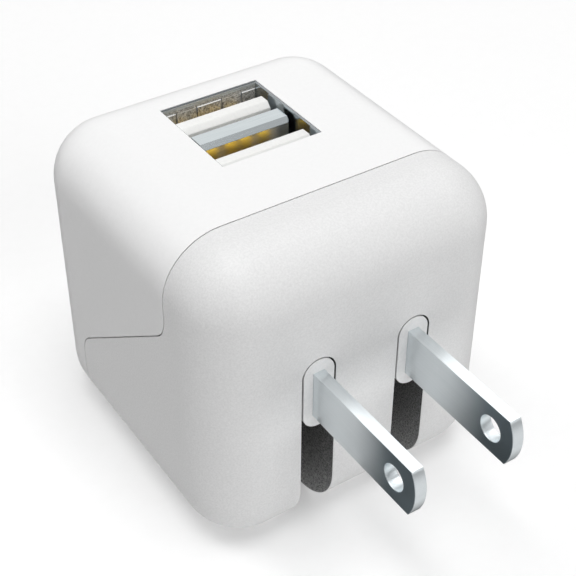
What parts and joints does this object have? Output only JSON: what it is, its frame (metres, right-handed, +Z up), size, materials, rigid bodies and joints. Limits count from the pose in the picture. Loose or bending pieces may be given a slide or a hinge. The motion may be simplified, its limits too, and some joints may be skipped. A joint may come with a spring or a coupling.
{
  "type": "usb wall charger",
  "caption": "Cube-shaped USB wall charger with rounded edges, stacked USB ports in its top and flat blades that fold down into slots in its front.",
  "frame": {"origin": "centre of the body's flat bottom face", "axes": "+Z up towards the ports, -Y towards the blade tips, X along the blades' pivot"},
  "size_m": [0.0392, 0.0585, 0.04],
  "materials": {
    "textured_white": "finely textured moulded white plastic",
    "satin_white": "satin moulded white plastic",
    "dark_plastic": "grained dark grey plastic",
    "rotor_white": "matt white plastic",
    "nickel": "nickel-plated brass, bright satin",
    "spring_steel": "plain spring steel",
    "brass_strip": "bare brass strip",
    "tinned_sheet": "tinned sheet metal",
    "gold_plate": "gold-plated contact",
    "white_insulator": "white moulded insulator",
    "natural_nylon": "natural nylon",
    "lead_insulation": "red wire insulation",
    "board_laminate": "green coated glass-fibre board",
    "ferrite": "sintered ferrite",
    "yellow_tape": "yellow polyester tape",
    "dark_sleeve": "dark shrink sleeve",
    "green_coating": "green coating",
    "blue_coating": "blue dipped coating",
    "black_package": "black moulding compound"
  },
  "bodies": {
    "casing": {"front_shell": "textured_white", "rear_shell": "satin_white", "blade_cradle": "dark_plastic", "rotor_retainer": "natural_nylon", "detent_spring": "spring_steel", "blade_contact_left": "brass_strip", "blade_contact_right": "brass_strip", "supply_lead_left": "lead_insulation", "supply_lead_right": "lead_insulation", "usb_shell": "tinned_sheet", "usb_divider": "tinned_sheet", "usb_insulator": "white_insulator", "usb_board": "board_laminate", "main_board": "board_laminate", "core_front": "ferrite", "core_rear": "ferrite", "bobbin": "natural_nylon", "winding": "yellow_tape", "input_capacitor_1": "dark_sleeve", "input_capacitor_2": "dark_sleeve", "output_capacitor_1": "dark_sleeve", "output_capacitor_2": "dark_sleeve", "fuse_resistor": "green_coating", "input_choke": "ferrite", "y_capacitor": "blue_coating", "bridge_rectifier": "black_package", "controller_chip": "black_package", "output_diode": "black_package", "feedback_coupler": "black_package", "usb_contact_front_1": "gold_plate", "usb_contact_front_2": "gold_plate", "usb_contact_front_3": "gold_plate", "usb_contact_front_4": "gold_plate", "usb_contact_rear_1": "gold_plate", "usb_contact_rear_2": "gold_plate", "usb_contact_rear_3": "gold_plate", "usb_contact_rear_4": "gold_plate"},
    "blades": {"blade_rotor": "rotor_white", "blade_left": "nickel", "blade_right": "nickel"}
  },
  "joints": [
    {"name": "blade_fold", "type": "hinge", "parent": "casing", "child": "blades", "pos_m": [0, -0.01645, 0.02205], "axis": [1, 0, 0], "range_deg": [0, 90]}
  ]
}
